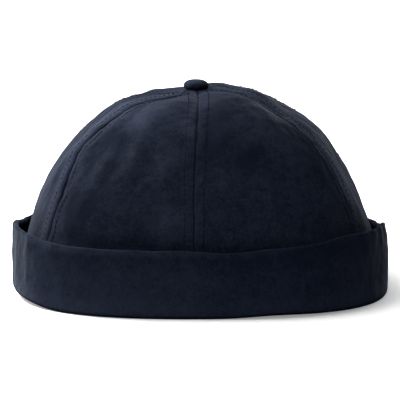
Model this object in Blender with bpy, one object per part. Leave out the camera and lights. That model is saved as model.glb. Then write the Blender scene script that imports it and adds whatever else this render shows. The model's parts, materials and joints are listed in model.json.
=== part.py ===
"""A brimless cap resting on a table: six sewn crown panels, a turned-up cuff and a covered button on top.

Metres, +Z up. The front faces -Y, and the origin is on the table under the middle of the cap.
Azimuths are in degrees from the front, positive towards +X. A climb goes up the crown, from 0 at the table to 1 at
the top. The other columns of the tables hold shares of the named sizes.
"""

import math
from collections import namedtuple

import bmesh
import bpy
from mathutils import Vector

# Overall sizes
CAP_WIDTH = 0.190
CAP_DEPTH = 0.214
PLAN_SQUARENESS = 2.6
CROWN_HEIGHT = 0.1004
CROWN_SQUARENESS = 2.15
CUFF_HEIGHT = 0.034

# Cloth, gaps and clearances
PANEL_CLOTH = 0.0014
CUFF_CLOTH = 0.0024
FOLD_CLOTH = 0.0014
FACING_CLOTH = 0.0012
FACING_HEIGHT = 0.011
HEM_GAP = 0.0018
FACING_GAP = 0.0008
SEAM_GAP = 0.0003
SEAT_GAP = 0.0003

# How far the cloth moves away from the plain form
PUFF = 0.0030
SCALLOP_POWER = 2.2
CREASE_DEPTH = 0.0016
CREASE_LENGTH = 0.060
CREASE_WIDTH = 0.014
CUFF_LEAN = 0.0030
LEAN_POWER = 5
CUFF_BELLY = 0.0004
CUFF_LIFT = 0.0026
FOOT_ROUND = 0.0009
TOP_SHIFT = -0.0022

# Covered button, its post and the clinch that holds it inside
BUTTON_WIDTH = 0.0127
BUTTON_HEIGHT = 0.0048
BUTTON_FOOT_WIDTH = 0.0076
BUTTON_ROLL = 0.0020
POST_WIDTH = 0.0022
POST_CLEARANCE = 0.0004
CLINCH_WIDTH = 0.0084
CLINCH_THICKNESS = 0.0008

# Mesh counts
PANEL_COLUMNS = 12
PANEL_ROWS = 14
PANEL_ROW_CROWDING = 1.3
ROUND_STEPS = 4
BUTTON_SIDES = 20
BUTTON_STEPS = 5
FULL_TURN = 360.0

Seam = namedtuple("Seam", "azimuth low middle high top")
SeamRow = namedtuple("SeamRow", "climb turn")
Panel = namedtuple("Panel", "name first_seam puff")
Swell = namedtuple("Swell", "climb seam middle")
Crease = namedtuple("Crease", "azimuth climb length width tilt depth")
CuffStation = namedtuple("CuffStation", "azimuth height lean lift")

# A seam's azimuth at the hem, and the degrees that it has turned by on its way up
SEAMS = (
    Seam(-124, 0.5, 1.0, 2.0, 1.0),
    Seam(-52.5, -1.0, -7.5, -6.0, 0.0),
    Seam(-1.4, -0.5, -0.8, 0.0, 4.0),
    Seam(56.5, 0.5, 3.0, 7.0, 4.0),
    Seam(122, -0.5, -1.0, 1.0, 2.0),
    Seam(180, 0.3, 0.5, 0.0, 0.0),
)
SEAM_CLIMBS = (0.0, 0.37, 0.51, 0.72, 1.0)

# Each panel's swell between its seams, as a share of the puff
PANELS = (
    Panel("crown_panel_left", 0, 0.65),
    Panel("crown_panel_front_left", 1, 0.80),
    Panel("crown_panel_front_right", 2, 0.95),
    Panel("crown_panel_right", 3, 0.85),
    Panel("crown_panel_back_right", 4, 0.65),
    Panel("crown_panel_back_left", 5, 0.45),
)

# How the crown stands out from its plain form, at the seams and in the middle of the panels
SWELLS = (
    Swell(0.00, 0.00, 0.00),
    Swell(0.12, -0.20, -0.20),
    Swell(0.23, -0.40, -0.40),
    Swell(0.35, -0.25, -0.13),
    Swell(0.52, 0.00, 0.40),
    Swell(0.64, 0.10, 0.80),
    Swell(0.79, 0.20, 1.00),
    Swell(0.88, 0.20, 0.95),
    Swell(0.94, 0.10, 0.70),
    Swell(0.975, 0.00, 0.05),
    Swell(1.00, 0.00, 0.00),
)

# Soft creases and bulges. The tilt is in degrees from straight up the crown, positive towards +X at the top
CREASES = (
    Crease(-70, 0.45, 0.90, 0.90, 0, 0.50),
    Crease(-44, 0.52, 0.50, 0.60, 22, -0.45),
    Crease(-33, 0.50, 0.45, 0.60, 18, -0.40),
    Crease(-21, 0.48, 0.60, 0.65, 12, -0.45),
    Crease(36, 0.80, 0.60, 0.60, 20, 0.50),
    Crease(-92, 0.90, 0.16, 1.80, 0, -0.30),
    Crease(-92, 0.77, 0.14, 1.60, 0, 0.35),
    Crease(-92, 0.52, 0.28, 1.60, 0, -1.80),
    Crease(90, 0.82, 0.14, 1.60, 0, 0.60),
    Crease(90, 0.70, 0.14, 1.60, 0, -0.80),
    Crease(90, 0.36, 0.40, 1.60, 0, -2.20),
)

# The cuff's rim height, its lean inwards at the rim, and how far its fold lifts off the table
CUFF_STATIONS = (
    CuffStation(-180, 0.83, 0.50, 0.00),
    CuffStation(-145, 0.85, 0.50, 0.00),
    CuffStation(-115, 0.85, 0.40, 0.10),
    CuffStation(-92, 0.94, 0.15, 0.65),
    CuffStation(-74, 1.04, 0.10, 1.00),
    CuffStation(-56, 1.03, 0.30, 0.65),
    CuffStation(-42, 1.00, 0.60, 0.05),
    CuffStation(-30, 1.00, 0.65, 0.00),
    CuffStation(-5, 1.00, 0.70, 0.00),
    CuffStation(7, 0.97, 0.70, 0.00),
    CuffStation(20, 1.02, 0.70, 0.30),
    CuffStation(33, 1.05, 0.70, 0.00),
    CuffStation(43, 1.11, 0.75, 0.00),
    CuffStation(66, 1.06, 0.80, 0.00),
    CuffStation(82, 1.01, 0.75, 0.00),
    CuffStation(98, 0.86, 0.75, 0.00),
    CuffStation(118, 0.79, 0.50, 0.00),
    CuffStation(150, 0.81, 0.50, 0.00),
)


def read_table(rows, column, place, turn=0.0):
    """A column's value at a place, on a smooth curve through the rows; a turn makes the table go round."""
    points = [(row[0], getattr(row, column)) for row in rows]
    if turn:
        place = (place - points[0][0]) % turn + points[0][0]
        before = [(at - turn, value) for at, value in points[-2:]]
        after = [(at + turn, value) for at, value in points[:2]]
        points = before + points + after
    place = min(max(place, points[0][0]), points[-1][0])
    last = len(points) - 1
    k = max(i for i in range(last) if points[i][0] <= place)

    def slope(i):
        low, high = points[max(i - 1, 0)], points[min(i + 1, last)]
        return (high[1] - low[1]) / (high[0] - low[0])

    (start, first), (end, second) = points[k], points[k + 1]
    span = end - start
    t = (place - start) / span
    value = first * (1 + 2 * t) * (1 - t) ** 2 + second * (3 - 2 * t) * t * t
    return value + span * (slope(k) * t * (1 - t) ** 2 - slope(k + 1) * (1 - t) * t * t)


def turn_between(azimuth, other):
    """Signed degrees from another azimuth to this one, the short way round."""
    return (azimuth - other + FULL_TURN / 2) % FULL_TURN - FULL_TURN / 2


def on_ray(azimuth, out, up):
    """The point at a radius and a height on the ray at an azimuth."""
    turned = math.radians(azimuth)
    return Vector((out * math.sin(turned), -out * math.cos(turned), up))


def plan_radius(azimuth, inset):
    """Radius of the cap's oval, seen from above, drawn in by an inset."""
    across = abs(math.sin(math.radians(azimuth))) / (CAP_WIDTH / 2 - inset)
    along = abs(math.cos(math.radians(azimuth))) / (CAP_DEPTH / 2 - inset)
    return (across**PLAN_SQUARENESS + along**PLAN_SQUARENESS) ** (-1 / PLAN_SQUARENESS)


def hem_radius(azimuth):
    """Radius of the crown's plain form at the table, inside the cuff."""
    return plan_radius(azimuth, CUFF_CLOTH + HEM_GAP)


def cuff_lift(azimuth):
    """How far the cuff's fold, and the hem that stands in it, lie off the table."""
    return CUFF_LIFT * max(0.0, read_table(CUFF_STATIONS, "lift", azimuth, FULL_TURN))


def climb_of_height(height):
    return math.asin((height / CROWN_HEIGHT) ** (CROWN_SQUARENESS / 2)) * 2 / math.pi


def climb_of_reach(reach):
    """Climb at which the plain form's radius is this share of its radius at the table."""
    return math.acos(reach ** (CROWN_SQUARENESS / 2)) * 2 / math.pi


def seam_azimuth(number, climb):
    """Where a seam runs at a climb; the numbers after the last go on round the cap."""
    turns, number = divmod(number, len(SEAMS))
    seam = SEAMS[number]
    rows = [SeamRow(*pair) for pair in zip(SEAM_CLIMBS, (0.0, *seam[1:]))]
    return seam.azimuth + turns * FULL_TURN + read_table(rows, "turn", climb)


def crease_swell(azimuth, climb, reach):
    """Sum of the soft creases and bulges at a place, outwards positive."""
    total = 0.0
    for crease in CREASES:
        around = math.radians(turn_between(azimuth, crease.azimuth)) * reach * CAP_WIDTH / 2
        up = (climb - crease.climb) * math.pi / 2 * CROWN_HEIGHT
        tilt = math.radians(crease.tilt)
        along = (up * math.cos(tilt) + around * math.sin(tilt)) / (crease.length * CREASE_LENGTH)
        across = (around * math.cos(tilt) - up * math.sin(tilt)) / (crease.width * CREASE_WIDTH)
        total += crease.depth * CREASE_DEPTH * math.exp(-along * along - across * across)
    return total


def crown_point(azimuth, climb, scallop, sink):
    """A point on the crown. The scallop goes from 0 at a seam to the panel's puff, and the sink is inwards."""
    reach = math.cos(climb * math.pi / 2) ** (2 / CROWN_SQUARENESS)
    rise = math.sin(climb * math.pi / 2) ** (2 / CROWN_SQUARENESS)
    hem = hem_radius(azimuth)
    across, up = reach ** (CROWN_SQUARENESS - 1) / hem, rise ** (CROWN_SQUARENESS - 1) / CROWN_HEIGHT
    steepness = math.hypot(across, up)
    seam, middle = (read_table(SWELLS, column, climb) for column in ("seam", "middle"))
    swell = PUFF * (seam + (middle - seam) * scallop) + crease_swell(azimuth, climb, reach) - sink
    point = on_ray(
        azimuth, hem * reach + swell * across / steepness, CROWN_HEIGHT * rise + swell * up / steepness
    )
    point.x += TOP_SHIFT * (1 - reach) ** 2
    return point


def panel_place(panel, column, climb):
    """Azimuth and scallop of a panel's column, which keeps half a seam gap from each seam."""
    share = 2 * column / PANEL_COLUMNS - 1
    left, right = seam_azimuth(panel.first_seam, climb), seam_azimuth(panel.first_seam + 1, climb)
    middle = (left + right) / 2
    reach = math.cos(climb * math.pi / 2) ** (2 / CROWN_SQUARENESS)
    kept = math.degrees(SEAM_GAP / 2 / (hem_radius(middle) * reach))
    return middle + share * ((right - left) / 2 - kept), panel.puff * (1 - abs(share) ** SCALLOP_POWER)


def hole_climb(azimuth):
    """Climb at which the panels end round the button's post."""
    return climb_of_reach((POST_WIDTH / 2 + POST_CLEARANCE) / hem_radius(azimuth))


def panel_climb(row, azimuth):
    """Climb of a panel's row, from the hem in the cuff's fold to the post's hole, crowded towards the hole."""
    bottom = climb_of_height(cuff_lift(azimuth) + FOLD_CLOTH + SEAT_GAP)
    return bottom + (hole_climb(azimuth) - bottom) * (1 - (1 - row / PANEL_ROWS) ** PANEL_ROW_CROWDING)


def crown_levels(radius, sink):
    """The crown's lowest and highest level on a small circle round its top."""
    levels = []
    for panel in PANELS:
        for column in range(PANEL_COLUMNS + 1):
            climb = climb_of_reach(radius / hem_radius(0))
            azimuth, scallop = panel_place(panel, column, climb)
            levels.append(crown_point(azimuth, climb, scallop, sink).z)
    return min(levels), max(levels)


def quarter_round(start, steps):
    """Sine and cosine of the steps of a quarter turn, from a start in quarter turns."""
    angles = [math.pi / 2 * (start + step / steps) for step in range(steps + 1)]
    return [(math.sin(angle), math.cos(angle)) for angle in angles]


def new_piece(name, points, faces, colour, roughness):
    """A closed mesh object with a cloth material of its own."""
    build = bmesh.new()
    corners = [build.verts.new(point) for point in points]
    for face in faces:
        build.faces.new([corners[i] for i in face])
    bmesh.ops.recalc_face_normals(build, faces=build.faces)
    mesh = bpy.data.meshes.new(name)
    build.to_mesh(mesh)
    build.free()
    mesh.shade_smooth()
    mesh.set_sharp_from_angle(angle=math.radians(40))
    material = bpy.data.materials.new(name)
    material.use_nodes = True
    shader = material.node_tree.nodes["Principled BSDF"]
    shader.inputs["Base Color"].default_value = (*colour, 1.0)
    shader.inputs["Roughness"].default_value = roughness
    shader.inputs["Metallic"].default_value = 0.0
    mesh.materials.append(material)
    piece = bpy.data.objects.new(name, mesh)
    bpy.context.collection.objects.link(piece)
    return piece


def strip_faces(rings, size, round_strip, round_ring):
    """Quads between neighbouring rings of points, with the strip and each ring closed or left open."""
    faces = []
    for ring in range(rings if round_strip else rings - 1):
        here, there = ring * size, (ring + 1) % rings * size
        for i in range(size if round_ring else size - 1):
            j = (i + 1) % size
            faces.append((here + i, here + j, there + j, there + i))
    return faces


def crown_panel(panel):
    """A crown panel: a cloth wall from its hem in the cuff to its tip at the post's hole."""
    points = []
    for column in range(PANEL_COLUMNS + 1):
        hem, _ = panel_place(panel, column, 0.0)
        outside, inside = [], []
        for row in range(PANEL_ROWS + 1):
            climb = panel_climb(row, hem)
            azimuth, scallop = panel_place(panel, column, climb)
            outside.append(crown_point(azimuth, climb, scallop, 0.0))
            inside.append(crown_point(azimuth, climb, scallop, PANEL_CLOTH))
        points += outside + inside[::-1]
    size = 2 * (PANEL_ROWS + 1)
    faces = strip_faces(PANEL_COLUMNS + 1, size, round_strip=False, round_ring=True)
    last = PANEL_COLUMNS * size
    for row in range(PANEL_ROWS):
        edge = (row, row + 1, size - 2 - row, size - 1 - row)
        faces.append(edge)
        faces.append(tuple(last + i for i in reversed(edge)))
    return new_piece(panel.name, points, faces, (0.012, 0.016, 0.030), 0.9)


def cuff_section(azimuth, scallop):
    """The cuff's closed outline, as (radius, height): a deep outer wall, a fold under the hem and a short facing."""
    lift = cuff_lift(azimuth)
    rim = CUFF_CLOTH / 2
    top = CUFF_HEIGHT * read_table(CUFF_STATIONS, "height", azimuth, FULL_TURN) - rim
    lean = CUFF_LEAN * read_table(CUFF_STATIONS, "lean", azimuth, FULL_TURN)
    widest = plan_radius(azimuth, 0.0)

    def wall(up, inset):
        """A point of the outer wall, up it by a share, which bows a little and leans in at the top."""
        bowed = CUFF_BELLY * (1 - math.sin(math.pi * up)) + lean * up**LEAN_POWER
        return widest - bowed - inset, lift + (top - lift) * up

    def crown_side(height):
        """Radius of the facing, which stays clear of the crown's inner side."""
        point = crown_point(azimuth, climb_of_height(height), scallop, PANEL_CLOTH + FACING_GAP)
        return math.hypot(point.x, point.y)

    foot = wall(0.0, 0.0)[0]
    floor = lift + FOLD_CLOTH
    section = [
        (foot - FOOT_ROUND * (1 - sine), lift + FOOT_ROUND * (1 - cosine))
        for sine, cosine in quarter_round(0, ROUND_STEPS // 2)
    ]
    section += [wall(up, 0.0) for up in (0.18, 0.40, 0.62, 0.82, 1.0)]
    middle, _ = wall(1.0, rim)
    for step in range(1, ROUND_STEPS):
        angle = math.pi * step / ROUND_STEPS
        section.append((middle + rim * math.cos(angle), top + rim * math.sin(angle)))
    section += [wall(up, CUFF_CLOTH) for up in (1.0, 0.82, 0.62, 0.30)]
    section.append((foot - CUFF_CLOTH, floor))
    facing = [(crown_side(up), up) for up in (floor, (floor + lift + FACING_HEIGHT) / 2, lift + FACING_HEIGHT)]
    section += facing
    section += [(radius - FACING_CLOTH, up) for radius, up in reversed(facing)]
    section += [
        (facing[0][0] - FACING_CLOTH + FOOT_ROUND * (1 - cosine), lift + FOOT_ROUND * (1 - sine))
        for sine, cosine in quarter_round(0, ROUND_STEPS // 2)
    ]
    return section


def cuff():
    """The turned-up cuff: one ring of cloth, open upwards between its outer wall and the crown."""
    points = []
    for panel in PANELS:
        for column in range(PANEL_COLUMNS):
            azimuth, scallop = panel_place(panel, column, 0.0)
            section = cuff_section(azimuth, scallop)
            points += [on_ray(azimuth, radius, up) for radius, up in section]
    rings = len(PANELS) * PANEL_COLUMNS
    faces = strip_faces(rings, len(points) // rings, round_strip=True, round_ring=True)
    return new_piece("cuff", points, faces, (0.012, 0.016, 0.030), 0.9)


def button_profile():
    """Half outline of the button, as (radius, height), from the clinch's underside to the edge of its dome's top."""
    post, foot, wide, clinch = POST_WIDTH / 2, BUTTON_FOOT_WIDTH / 2, BUTTON_WIDTH / 2, CLINCH_WIDTH / 2
    seat = max(crown_levels(foot, 0.0)[1], crown_levels(wide, 0.0)[1] - BUTTON_ROLL) + SEAT_GAP
    hole = post + POST_CLEARANCE
    under = min(crown_levels(radius, PANEL_CLOTH)[0] for radius in (hole, clinch)) - SEAT_GAP
    profile = [(clinch, under - CLINCH_THICKNESS), (clinch, under), (post, under), (post, seat)]
    for sine, cosine in quarter_round(0, BUTTON_STEPS)[:-1]:
        profile.append((foot + (wide - foot) * sine, seat + BUTTON_ROLL * (1 - cosine)))
    for sine, cosine in quarter_round(0, BUTTON_STEPS)[:-1]:
        profile.append((wide * cosine, seat + BUTTON_ROLL + (BUTTON_HEIGHT - BUTTON_ROLL) * sine))
    return profile, seat + BUTTON_HEIGHT


def top_button():
    """The covered button, its post through the crown and the clinch that holds it inside."""
    profile, top = button_profile()
    points = []
    for side in range(BUTTON_SIDES):
        points += [on_ray(side * FULL_TURN / BUTTON_SIDES, radius, up) for radius, up in profile]
    size = len(profile)
    faces = strip_faces(BUTTON_SIDES, size, round_strip=True, round_ring=False)
    points += [Vector((0, 0, profile[0][1])), Vector((0, 0, top))]
    for side in range(BUTTON_SIDES):
        here, there = side * size, (side + 1) % BUTTON_SIDES * size
        faces.append((len(points) - 2, here, there))
        faces.append((len(points) - 1, there + size - 1, here + size - 1))
    for point in points:
        point.x += TOP_SHIFT
    return new_piece("top_button", points, faces, (0.008, 0.010, 0.020), 0.85)


def main():
    for old in list(bpy.data.objects):
        bpy.data.objects.remove(old)
    cap = bpy.data.objects.new("cap", None)
    bpy.context.collection.objects.link(cap)
    for piece in [crown_panel(panel) for panel in PANELS] + [cuff(), top_button()]:
        piece.parent = cap


main()
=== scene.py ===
"""Looks for a brimless navy cap of six sewn panels, with a turned-up cuff and a covered button.

Metres, +Z up, front towards -Y. Azimuths are in degrees from the front, positive towards +X. A climb
goes up the crown, from 0 at the table to 1 at the top. A share across a panel goes from -1 at its
first seam to 1 at the next one.
"""

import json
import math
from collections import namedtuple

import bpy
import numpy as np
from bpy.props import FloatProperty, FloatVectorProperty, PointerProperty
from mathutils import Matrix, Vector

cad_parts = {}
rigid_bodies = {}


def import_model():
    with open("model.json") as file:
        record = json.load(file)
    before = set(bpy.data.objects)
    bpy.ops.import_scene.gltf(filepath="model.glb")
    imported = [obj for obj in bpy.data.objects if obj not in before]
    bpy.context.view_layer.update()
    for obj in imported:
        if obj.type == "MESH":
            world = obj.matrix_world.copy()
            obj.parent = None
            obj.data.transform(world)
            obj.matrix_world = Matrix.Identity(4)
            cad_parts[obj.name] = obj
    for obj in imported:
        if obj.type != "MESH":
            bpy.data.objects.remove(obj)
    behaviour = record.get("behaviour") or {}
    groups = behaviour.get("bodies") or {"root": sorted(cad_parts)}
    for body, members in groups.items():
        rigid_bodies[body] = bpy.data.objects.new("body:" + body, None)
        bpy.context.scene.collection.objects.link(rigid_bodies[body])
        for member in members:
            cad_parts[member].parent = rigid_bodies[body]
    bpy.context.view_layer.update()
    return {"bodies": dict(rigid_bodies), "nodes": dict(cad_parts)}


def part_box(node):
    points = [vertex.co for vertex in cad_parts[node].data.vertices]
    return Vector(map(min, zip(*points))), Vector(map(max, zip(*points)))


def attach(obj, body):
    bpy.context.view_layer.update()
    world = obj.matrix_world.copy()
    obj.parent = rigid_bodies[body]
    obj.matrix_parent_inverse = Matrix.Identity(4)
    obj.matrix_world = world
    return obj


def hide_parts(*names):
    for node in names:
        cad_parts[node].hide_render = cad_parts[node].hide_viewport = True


bl_info = {
    "name": "Brimless Cap",
    "version": (1, 0, 0),
    "blender": (4, 5, 0),
    "location": "3D View > Sidebar > Cap",
    "description": "Sews a brimless cap with a turned-up cuff round its packed frame",
    "category": "Add Mesh",
}

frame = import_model()
BODY = next(iter(frame["bodies"]))

FULL_TURN = 360.0


def table(kind, rows):
    """Rows of values under the column names of a kind."""
    return tuple(kind(*row) for row in rows)


# A seam's azimuth at the hem, and the degrees that it has turned by at the four climbs after that.
# Then how deep its groove is, how much the panel before it laps over the panel after it, and how much
# wear and a painted highlight where the welts face the light lighten the cloth on the panel before it,
# on the panel after it and along the edges of its allowances
Seam = namedtuple("Seam", "name azimuth low middle high top groove lap before after ridge")
SEAMS = table(Seam, (
    ("back_left", -124, 0.5, 1.0, 2.0, 1.0, 1.0, 0.0, 0.5, 0.5, 0.4),
    ("front_left", -52.5, -1.7, -6.8, -4.8, 0.0, 1.2, 1.0, 2.3, 0.3, 0.7),
    ("front", -1.4, -0.6, -0.5, 0.3, 4.6, 0.8, 0.0, 0.3, 0.2, 0.2),
    ("front_right", 56.5, 0.5, 3.0, 7.0, 4.0, 0.2, 0.0, -0.5, 1.9, 1.6),
    ("back_right", 122, -0.5, -1.0, 1.0, 2.0, 1.0, 0.0, 0.5, 0.5, 0.4),
    ("back", 180, 0.3, 0.5, 0.0, 0.0, 1.0, 0.0, 0.5, 0.5, 0.4),
))
SEAM_CLIMBS = (0.0, 0.37, 0.51, 0.72, 1.0)

# The waves in which the seams wander, in radians for each climb and each seam. They are calmer where
# no panel laps over the next one
Wander = namedtuple("Wander", "climbing seam_shift width")
WANDERS = table(Wander, ((55, 2, 1.0), (107, 3, 0.6)))
SEAM_WANDER = 0.16
PLAIN_WANDER = 0.5

# A panel's swell between its seams, as a share of the puff, and how deep and slanted its folds are
Panel = namedtuple("Panel", "node first_seam puff drape slant")
PANELS = table(Panel, (
    ("crown_panel_left", 0, 0.65, 0.8, 0.1),
    ("crown_panel_front_left", 1, 0.80, 1.0, 0.25),
    ("crown_panel_front_right", 2, 0.95, 0.4, -0.2),
    ("crown_panel_right", 3, 0.85, 0.7, 0.0),
    ("crown_panel_back_right", 4, 0.65, 0.8, 0.2),
    ("crown_panel_back_left", 5, 0.45, 0.8, -0.2),
))

# How far the crown stands out from its plain form, at the seams and in the middle of the panels
Swell = namedtuple("Swell", "climb seam middle")
SWELLS = table(Swell, (
    (0.00, 0.00, 0.00),
    (0.12, -0.20, -0.20),
    (0.23, -0.40, -0.40),
    (0.35, -0.25, -0.13),
    (0.52, 0.00, 0.40),
    (0.64, 0.10, 0.74),
    (0.79, 0.10, 0.84),
    (0.88, 0.05, 0.74),
    (0.94, 0.00, 0.45),
    (0.975, 0.00, 0.05),
    (1.00, 0.00, 0.00),
))
PUFF = 0.0030
SCALLOP_POWER = 2.2

# Soft creases, and bulges where the depth is above 0. The length, width and depth are shares of the
# sizes below, and the tilt is in degrees from straight up the crown, positive towards +X at the top
Crease = namedtuple("Crease", "azimuth climb length width tilt depth")
CREASES = table(Crease, (
    (-92, 0.90, 0.16, 1.80, 0, -0.30),
    (-92, 0.77, 0.14, 1.60, 0, 0.35),
    (-92, 0.52, 0.28, 1.60, 0, -1.80),
    (-70, 0.45, 0.90, 0.90, 0, 0.50),
    (-44, 0.52, 0.50, 0.60, 22, -0.45),
    (-33, 0.50, 0.45, 0.60, 18, -0.40),
    (-21, 0.48, 0.60, 0.65, 12, -0.45),
    (36, 0.80, 0.60, 0.60, 20, 0.36),
    (90, 0.82, 0.14, 1.60, 0, 0.60),
    (90, 0.70, 0.14, 1.60, 0, -0.80),
    (90, 0.36, 0.40, 1.60, 0, -2.20),
))

# Finer creases, which the cloth's wear and painted shade follow
FINE_CREASES = table(Crease, (
    (-160, 0.40, 0.40, 0.55, -10, -0.30),
    (-140, 0.50, 0.50, 0.60, 12, -0.40),
    (-100, 0.38, 0.40, 0.50, -12, -0.30),
    (-93, 0.58, 0.32, 1.80, 0, -0.55),
    (-93, 0.31, 0.20, 1.80, 0, 0.25),
    (-67, 0.42, 0.60, 0.30, -4, 0.25),
    (-60, 0.47, 0.10, 0.16, 70, -0.50),
    (-49, 0.57, 0.30, 0.24, 6, -0.34),
    (-45, 0.44, 0.34, 0.26, -2, -0.40),
    (-44, 0.66, 0.24, 0.26, 4, -0.42),
    (-39, 0.53, 0.40, 0.26, 2, 0.36),
    (-38, 0.22, 0.12, 0.60, 60, -0.55),
    (-34, 0.46, 0.26, 0.26, 4, -0.36),
    (-28, 0.52, 0.36, 0.34, 2, 0.22),
    (-25, 0.74, 0.26, 0.36, 6, 0.24),
    (-22, 0.46, 0.28, 0.26, 4, -0.34),
    (-17, 0.22, 0.12, 0.70, 80, -0.50),
    (-14, 0.40, 0.34, 0.30, 0, 0.16),
    (15, 0.66, 0.30, 0.55, -8, -0.30),
    (44, 0.70, 0.50, 0.22, 16, 0.28),
    (66, 0.30, 0.40, 0.30, 6, -0.30),
    (92, 0.50, 0.50, 1.80, 0, -0.40),
    (92, 0.70, 0.16, 1.60, 0, -0.35),
    (98, 0.50, 0.40, 0.50, 14, -0.30),
    (128, 0.45, 0.50, 0.60, -14, -0.40),
    (150, 0.55, 0.45, 0.55, 10, -0.35),
))
CREASE_DEPTH = 0.0016
CREASE_LENGTH = 0.060
CREASE_WIDTH = 0.014

# The cuff's rim height, its lean inwards at the rim, how far its fold lifts off the table, how much
# painted light or painted shade its cloth has, darkest on the right away from the lamps, and how much
# wear and a painted highlight lighten its rim
CuffStation = namedtuple("CuffStation", "azimuth height lean lift fade rim")
CUFF_STATIONS = table(CuffStation, (
    (-180, 0.83, 0.50, 0.00, 0.0, 0.6),
    (-145, 0.85, 0.50, 0.00, 0.0, 0.6),
    (-115, 0.85, 0.40, 0.10, 0.0, 0.8),
    (-92, 0.98, 0.15, 0.65, -0.9, 1.0),
    (-74, 1.04, 0.10, 1.00, 0.2, 1.3),
    (-56, 1.03, 0.30, 0.65, 0.0, 1.5),
    (-42, 1.00, 0.60, 0.05, -0.3, 1.5),
    (-30, 1.00, 0.65, 0.00, -0.3, 1.5),
    (-5, 1.00, 0.70, 0.00, -0.1, 1.0),
    (7, 0.97, 0.70, 0.08, -0.7, 0.8),
    (20, 1.02, 0.70, 0.50, -0.45, 0.7),
    (33, 1.05, 0.70, 0.36, -0.8, 0.5),
    (43, 1.11, 0.75, 0.22, -0.7, 0.8),
    (66, 1.07, 0.55, 0.00, -1.3, 0.6),
    (82, 1.03, 0.45, 0.00, -0.9, 0.6),
    (98, 0.87, 0.70, 0.00, -0.3, 0.6),
    (118, 0.79, 0.50, 0.00, 0.0, 0.6),
    (150, 0.81, 0.50, 0.00, 0.0, 0.6),
))

# Soft folds of the cuff's outer wall. Heights, lengths and widths are shares of the cuff's height
CuffFold = namedtuple("CuffFold", "azimuth height length width tilt depth")
CUFF_FOLDS = table(CuffFold, (
    (-150, 0.50, 0.45, 0.22, 6, -0.6),
    (-108, 0.45, 0.50, 0.20, -8, -0.7),
    (-78, 0.55, 0.50, 0.15, -5, -0.8),
    (-68, 0.55, 0.50, 0.15, 8, 0.7),
    (-60, 0.55, 0.40, 0.16, -6, -0.5),
    (-14, 0.10, 0.18, 0.07, 24, -0.7),
    (21, 0.70, 0.30, 0.08, 40, -0.5),
    (62, 0.45, 0.55, 0.21, 7, -0.8),
    (73, 0.65, 0.42, 0.20, -6, 0.6),
    (105, 0.50, 0.50, 0.20, 8, -0.7),
    (140, 0.50, 0.45, 0.22, -6, -0.6),
))
CUFF_FOLD_DEPTH = 0.0008

# How much lighter the cuff's outer wall is painted at each share of its height: painted light from the
# floor's bounce towards the foot, painted shade towards the rim
HeightPaintedLighting = namedtuple("HeightPaintedLighting", "height light")
CUFF_PAINTED_LIGHTING_BY_HEIGHT = table(HeightPaintedLighting, (
    (0.00, 1.2),
    (0.16, 1.0),
    (0.35, 0.2),
    (0.60, 0.0),
    (0.85, -0.5),
    (1.00, -0.8),
))

# How deep the crown is drawn in round the button, and how far it sags a little further out
ButtonDip = namedtuple("ButtonDip", "azimuth depth sag")
BUTTON_DIPS = table(ButtonDip, (
    (-180, 0.3, 0.1),
    (-155, 0.9, 0.8),
    (-130, 1.0, 1.0),
    (-90, 1.2, 1.1),
    (-50, 1.0, 1.0),
    (-20, 0.9, 0.7),
    (0, 0.8, 0.4),
    (45, 0.2, 0.0),
    (90, -0.2, -0.15),
    (135, -0.4, 0.10),
    (158, -0.5, -0.4),
))
DIP_DEPTH = 0.0010
DIP_RADIUS = 0.0095
DIP_BREADTH = 0.55 * DIP_RADIUS
SAG_DEPTH = 0.0022
SAG_RADIUS = 0.020
SAG_BREADTH = 0.013

# Painted light and shade on the crown: patches where its colour is lightened to stand for pools of
# light, or darkened to stand for shade
Fade = namedtuple("Fade", "azimuth climb breadth rise amount")
CROWN_PAINTED_LIGHTING = table(Fade, (
    (-72, 0.64, 10, 0.16, 1.6),
    (-54, 0.64, 4, 0.06, 1.2),
    (-45, 0.72, 14, 0.05, 2.0),
    (-43, 0.31, 3, 0.05, -1.2),
    (-43, 0.56, 4, 0.07, -1.0),
    (-40, 0.32, 9, 0.07, -1.9),
    (-38, 0.60, 10, 0.04, -1.3),
    (-36, 0.21, 8, 0.03, -0.9),
    (-34, 0.68, 5, 0.04, 1.2),
    (-31, 0.42, 6, 0.10, -0.7),
    (-28, 0.77, 10, 0.04, 1.8),
    (-26, 0.28, 5, 0.035, -0.8),
    (-20, 0.20, 32, 0.05, -0.2),
    (-11, 0.31, 5, 0.06, 1.6),
    (-11, 0.62, 6, 0.04, -1.3),
    (-2, 0.64, 4, 0.08, 1.2),
    (5, 0.62, 15, 0.13, -1.5),
    (8, 0.75, 14, 0.05, -0.6),
    (18, 0.51, 8, 0.05, -1.4),
    (24, 0.77, 12, 0.06, -1.1),
    (38, 0.79, 8, 0.04, -1.0),
    (43, 0.20, 14, 0.035, 3.4),
    (44, 0.66, 7, 0.06, -1.3),
    (52, 0.46, 6, 0.12, -1.2),
    (57, 0.30, 5, 0.06, -1.5),
    (60, 0.38, 4, 0.10, 0.8),
    (65, 0.27, 6, 0.05, -1.3),
    (66, 0.50, 5, 0.06, 0.7),
    (67, 0.61, 5, 0.05, -1.0),
    (74, 0.58, 6, 0.06, 1.0),
    (77, 0.58, 6, 0.05, 1.1),
    (88, 0.67, 7, 0.05, 0.9),
    (106, 0.60, 8, 0.07, -1.5),
))


def node_points(node):
    """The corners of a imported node, as rows of metres."""
    points = np.empty(len(frame["nodes"][node].data.vertices) * 3)
    frame["nodes"][node].data.vertices.foreach_get("co", points)
    return points.reshape(-1, 3)


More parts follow.
